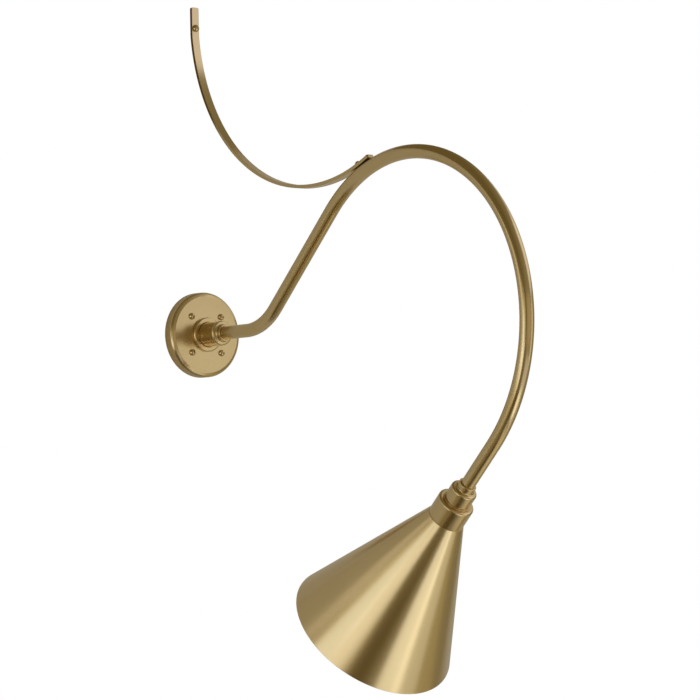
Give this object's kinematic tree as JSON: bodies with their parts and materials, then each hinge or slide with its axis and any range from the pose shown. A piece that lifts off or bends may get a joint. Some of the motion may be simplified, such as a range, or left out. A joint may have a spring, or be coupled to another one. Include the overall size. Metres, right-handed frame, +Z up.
{
  "type": "barn light",
  "caption": "Wall-mounted barn light: S-curved gooseneck tube from a round canopy, a strap brace to the wall and a cone shade aimed down over a screw-in bulb.",
  "frame": {"origin": "centre of the wall canopy on the wall plane, where the box screws' line crosses the arm's axis", "axes": "+Z up the wall, +Y into the wall (the arm reaches to -Y), +X to the right when facing the wall"},
  "size_m": [0.2286, 0.739, 0.9739],
  "materials": {
    "satin_brass": "satin brushed brass",
    "gasket_rubber": "closed-cell foam rubber",
    "plated_steel": "zinc plated",
    "ground_green_paint": "green lacquer",
    "ring_aluminium": "turned",
    "porcelain": "white glaze",
    "contact_brass": "bright brass",
    "bulb_glass": "clear glass",
    "base_aluminium": "bright",
    "insulator_black": "dark vitreous insulator",
    "solder": "solder",
    "stem_glass": "clear glass",
    "filament_wire": "drawn wire",
    "lead_black": "insulated wire",
    "lead_white": "insulated wire",
    "lead_green": "insulated wire",
    "connector_orange": "moulded plastic"
  },
  "bodies": {
    "fixture": {"arm_coupling": "satin_brass", "brace_strap": "satin_brass", "brace_tube_screw": "satin_brass", "brace_wall_screw": "satin_brass", "canopy_screws": "satin_brass", "centre_contact": "contact_brass", "fitter_nipple": "plated_steel", "fitter_washer": "satin_brass", "gooseneck_tube": "satin_brass", "ground_lead": "lead_green", "ground_lug": "plated_steel", "ground_screw": "ground_green_paint", "hub": "satin_brass", "hub_ring": "satin_brass", "line_lead": "lead_black", "lock_nut": "plated_steel", "mounting_plate": "plated_steel", "neutral_lead": "lead_white", "nipple_nut": "plated_steel", "screw_shell": "contact_brass", "shade": "satin_brass", "shade_ring": "ring_aluminium", "socket_body": "porcelain", "socket_cap": "plated_steel", "socket_cup": "satin_brass", "socket_screws": "plated_steel", "wall_canopy": "satin_brass", "wall_gasket": "gasket_rubber", "wire_connectors": "connector_orange"},
    "bulb": {"bulb_globe": "bulb_glass", "bulb_base": "base_aluminium", "base_insulator": "insulator_black", "base_tip": "solder", "bulb_stem": "stem_glass", "filament_posts": "filament_wire", "filament": "filament_wire"}
  },
  "joints": [
    {"name": "bulb_turn", "type": "hinge", "parent": "fixture", "child": "bulb", "pos_m": [0, -0.53978, -0.26061], "axis": [0, 0.7193, -0.6947], "range_deg": [0, 1260]}
  ]
}
